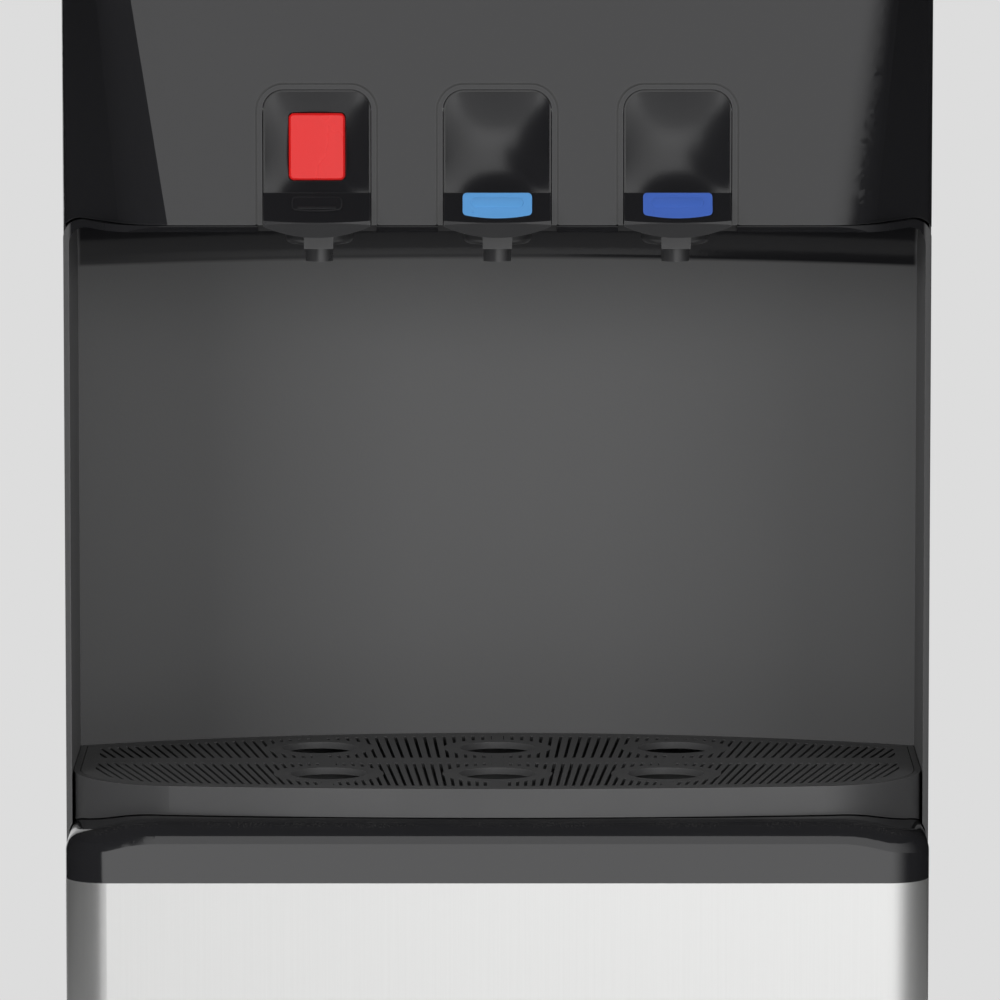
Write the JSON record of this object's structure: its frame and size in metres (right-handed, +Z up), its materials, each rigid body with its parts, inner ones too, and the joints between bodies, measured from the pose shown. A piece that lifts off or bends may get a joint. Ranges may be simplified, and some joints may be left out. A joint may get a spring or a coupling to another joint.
{
  "type": "top-loading water dispenser",
  "caption": "Free-standing top-loading water dispenser with push paddles over a recessed bay, a drip tray, a steel lower front and a rear condenser.",
  "frame": {"origin": "on the floor, below the middle of the outer box", "axes": "+Z up, front towards -Y, +X to the right of someone facing the front"},
  "size_m": [0.308, 0.364, 0.985],
  "materials": {
    "black_gloss": "glossy black ABS",
    "black_matte": "satin black plastic",
    "steel_front": "pale vertical brushed steel",
    "painted_black": "powder-coated black sheet",
    "rubber": "rubber",
    "zinc": "zinc-plated sheet",
    "stainless": "stainless steel",
    "red": "red plastic",
    "light_blue": "light blue plastic",
    "dark_blue": "dark blue plastic",
    "white_plastic": "white plastic",
    "foam": "expanded polystyrene",
    "copper": "copper tube",
    "silicone": "silicone hose",
    "compressor_black": "black enamel",
    "condenser_black": "black enamel"
  },
  "bodies": {
    "cabinet": {"feet": "rubber", "base_pan": "black_matte", "side_panel_left": "painted_black", "side_panel_right": "painted_black", "rear_panel": "zinc", "case_screws": "zinc", "front_panel": "steel_front", "tray_deck": "black_gloss", "bay_liner": "black_matte", "head_cover": "black_gloss", "top_cover": "black_gloss", "pivot_pins": "stainless", "paddle_springs": "stainless", "seat_seal": "silicone", "cold_tank": "stainless", "baffle": "white_plastic", "evaporator_coil": "copper", "tank_foam": "foam", "tank_shelf": "zinc", "hot_tank": "stainless", "hot_jacket": "foam", "heater_band": "stainless", "thermostats": "black_matte", "tank_bracket": "zinc", "drain_pipe": "white_plastic", "compressor": "compressor_black", "compressor_plate": "zinc", "grommets": "rubber", "compressor_bolts": "zinc", "refrigerant_pipes": "copper", "condenser": "condenser_black", "condenser_straps": "black_matte", "water_hoses": "silicone", "feed_hose": "silicone", "control_box": "black_matte", "power_inlet": "black_matte", "bezel_hot": "black_gloss", "valve_hot": "white_plastic", "nozzle_hot": "black_matte", "bezel_room": "black_gloss", "valve_room": "white_plastic", "nozzle_room": "black_matte", "bezel_cold": "black_gloss", "valve_cold": "white_plastic", "nozzle_cold": "black_matte"},
    "paddle_hot": {"paddle_hot": "black_gloss"},
    "paddle_room": {"paddle_room": "black_gloss", "label_room": "light_blue"},
    "paddle_cold": {"paddle_cold": "black_gloss", "label_cold": "dark_blue"},
    "lock_button": {"lock_button": "red"},
    "stem_hot": {"stem_hot": "white_plastic"},
    "stem_room": {"stem_room": "white_plastic"},
    "stem_cold": {"stem_cold": "white_plastic"},
    "drip_tray": {"drip_tray": "black_matte"},
    "drip_grille": {"drip_grille": "black_matte"},
    "bottle_seat": {"bottle_seat": "white_plastic"},
    "drain_cap": {"drain_cap": "black_matte"},
    "rocker_heat": {"rocker_heat": "red"},
    "rocker_cool": {"rocker_cool": "black_matte"}
  },
  "joints": [
    {"name": "press_hot", "type": "hinge", "parent": "cabinet", "child": "paddle_hot", "pos_m": [-0.063, -0.1598, 0.8198], "axis": [1, 0, 0], "range_deg": [0, 7], "stiffness_Nm_per_rad": 0.8, "springref_deg": -8.59},
    {"name": "open_hot", "type": "slide", "parent": "cabinet", "child": "stem_hot", "axis": [0, 1, 0], "range_m": [0, 0.00382]},
    {"name": "press_room", "type": "hinge", "parent": "cabinet", "child": "paddle_room", "pos_m": [0, -0.1598, 0.8198], "axis": [1, 0, 0], "range_deg": [0, 7], "stiffness_Nm_per_rad": 0.8, "springref_deg": -8.59},
    {"name": "open_room", "type": "slide", "parent": "cabinet", "child": "stem_room", "axis": [0, 1, 0], "range_m": [0, 0.00382]},
    {"name": "press_cold", "type": "hinge", "parent": "cabinet", "child": "paddle_cold", "pos_m": [0.063, -0.1598, 0.8198], "axis": [1, 0, 0], "range_deg": [0, 7], "stiffness_Nm_per_rad": 0.8, "springref_deg": -8.59},
    {"name": "open_cold", "type": "slide", "parent": "cabinet", "child": "stem_cold", "axis": [0, 1, 0], "range_m": [0, 0.00382]},
    {"name": "press_lock", "type": "slide", "parent": "paddle_hot", "child": "lock_button", "axis": [0, 1, 0], "range_m": [0, 0.0025], "stiffness_N_per_m": 800, "springref_m": -0.001},
    {"name": "pull_tray", "type": "slide", "parent": "cabinet", "child": "drip_tray", "axis": [0, -1, 0], "range_m": [0, 0.15]},
    {"name": "lift_grille", "type": "slide", "parent": "drip_tray", "child": "drip_grille", "axis": [0, 0, 1], "range_m": [0, 0.08]},
    {"name": "lift_seat", "type": "slide", "parent": "cabinet", "child": "bottle_seat", "axis": [0, 0, 1], "range_m": [0, 0.09]},
    {"name": "pull_cap", "type": "slide", "parent": "cabinet", "child": "drain_cap", "axis": [0, 1, 0], "range_m": [0, 0.025]},
    {"name": "tip_heat", "type": "hinge", "parent": "cabinet", "child": "rocker_heat", "pos_m": [0.024, 0.1525, 0.685], "axis": [-1, 0, 0], "range_deg": [0, 18]},
    {"name": "tip_cool", "type": "hinge", "parent": "cabinet", "child": "rocker_cool", "pos_m": [0.064, 0.1525, 0.685], "axis": [-1, 0, 0], "range_deg": [0, 18]}
  ],
  "couplings": [
    {"joint": "open_hot", "follows": "press_hot", "m_per_rad": 0.0313},
    {"joint": "open_room", "follows": "press_room", "m_per_rad": 0.0313},
    {"joint": "open_cold", "follows": "press_cold", "m_per_rad": 0.0313}
  ]
}
